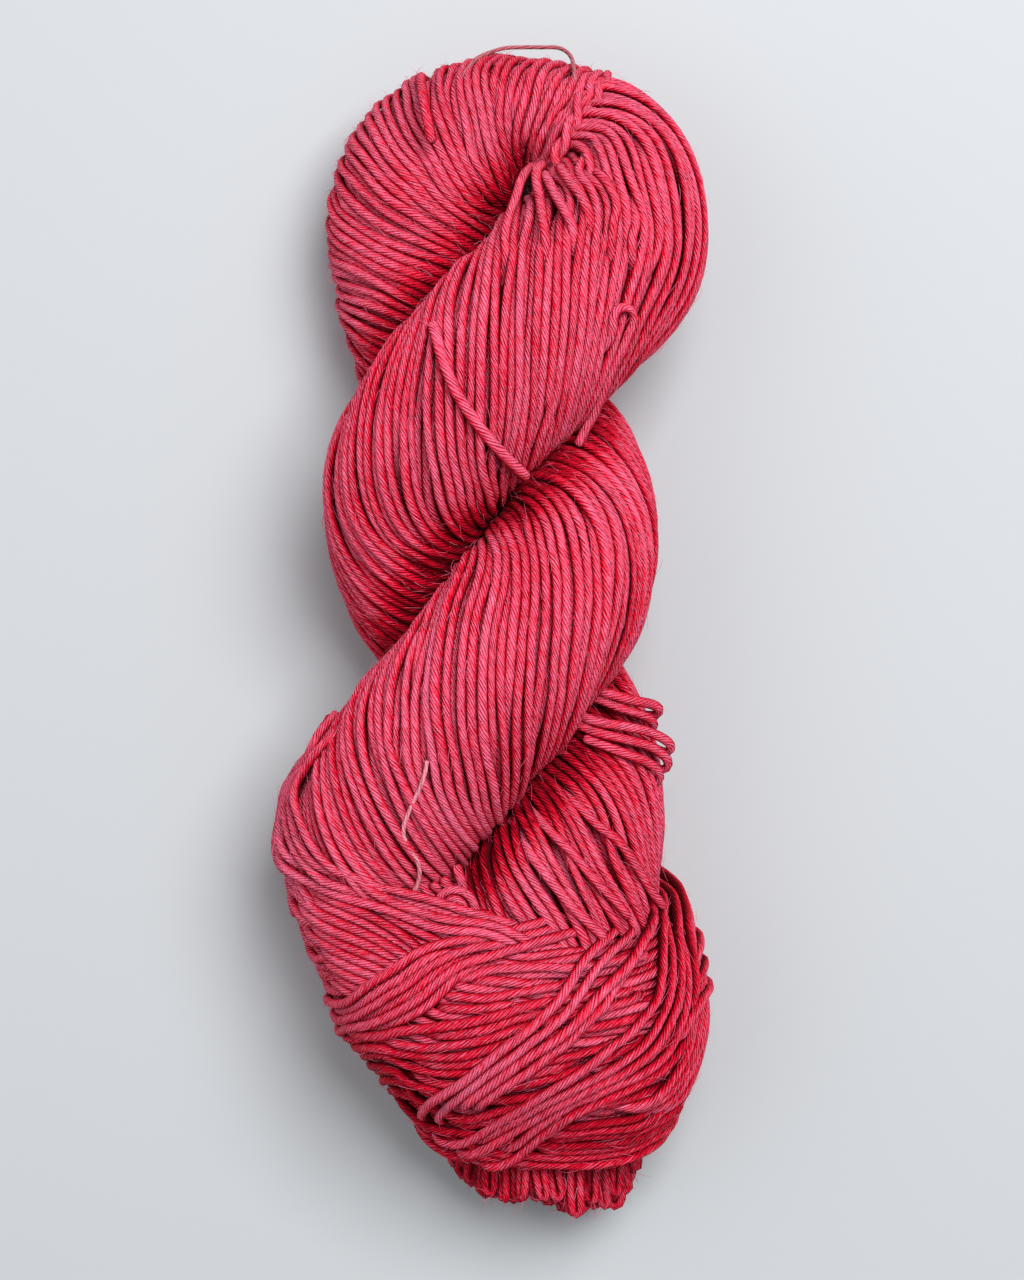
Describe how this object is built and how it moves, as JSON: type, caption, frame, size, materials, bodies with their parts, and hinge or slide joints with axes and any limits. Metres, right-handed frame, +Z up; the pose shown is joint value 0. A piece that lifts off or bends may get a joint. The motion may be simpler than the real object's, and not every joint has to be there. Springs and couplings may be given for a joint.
{
  "type": "twisted hank of hand-dyed cotton yarn",
  "caption": "Hank of plied cotton yarn, folded and twisted into a two-ply rope that lies flat, its end loop wrapped round the foot, with a loose end and fine tie threads",
  "frame": {"origin": "the middle of the outline seen from above, on the surface that the hank lies on", "axes": "+Y runs along the hank from its tuft to its top arch, +X is the right-hand side seen from above, +Z is up"},
  "size_m": [0.0957, 0.262, 0.0633],
  "materials": {
    "yarn": "matt plied cotton, hand-dyed crimson pink, a little lighter and darker along each strand",
    "dusky_thread": "fine fuzzy cotton thread, dusky brown-pink",
    "pale_thread": "fine fuzzy cotton thread, pale pink"
  },
  "bodies": {
    "root": {"hank": "yarn", "loose_end": "yarn", "tie_top": "dusky_thread", "tie_side": "pale_thread"}
  },
  "joints": []
}
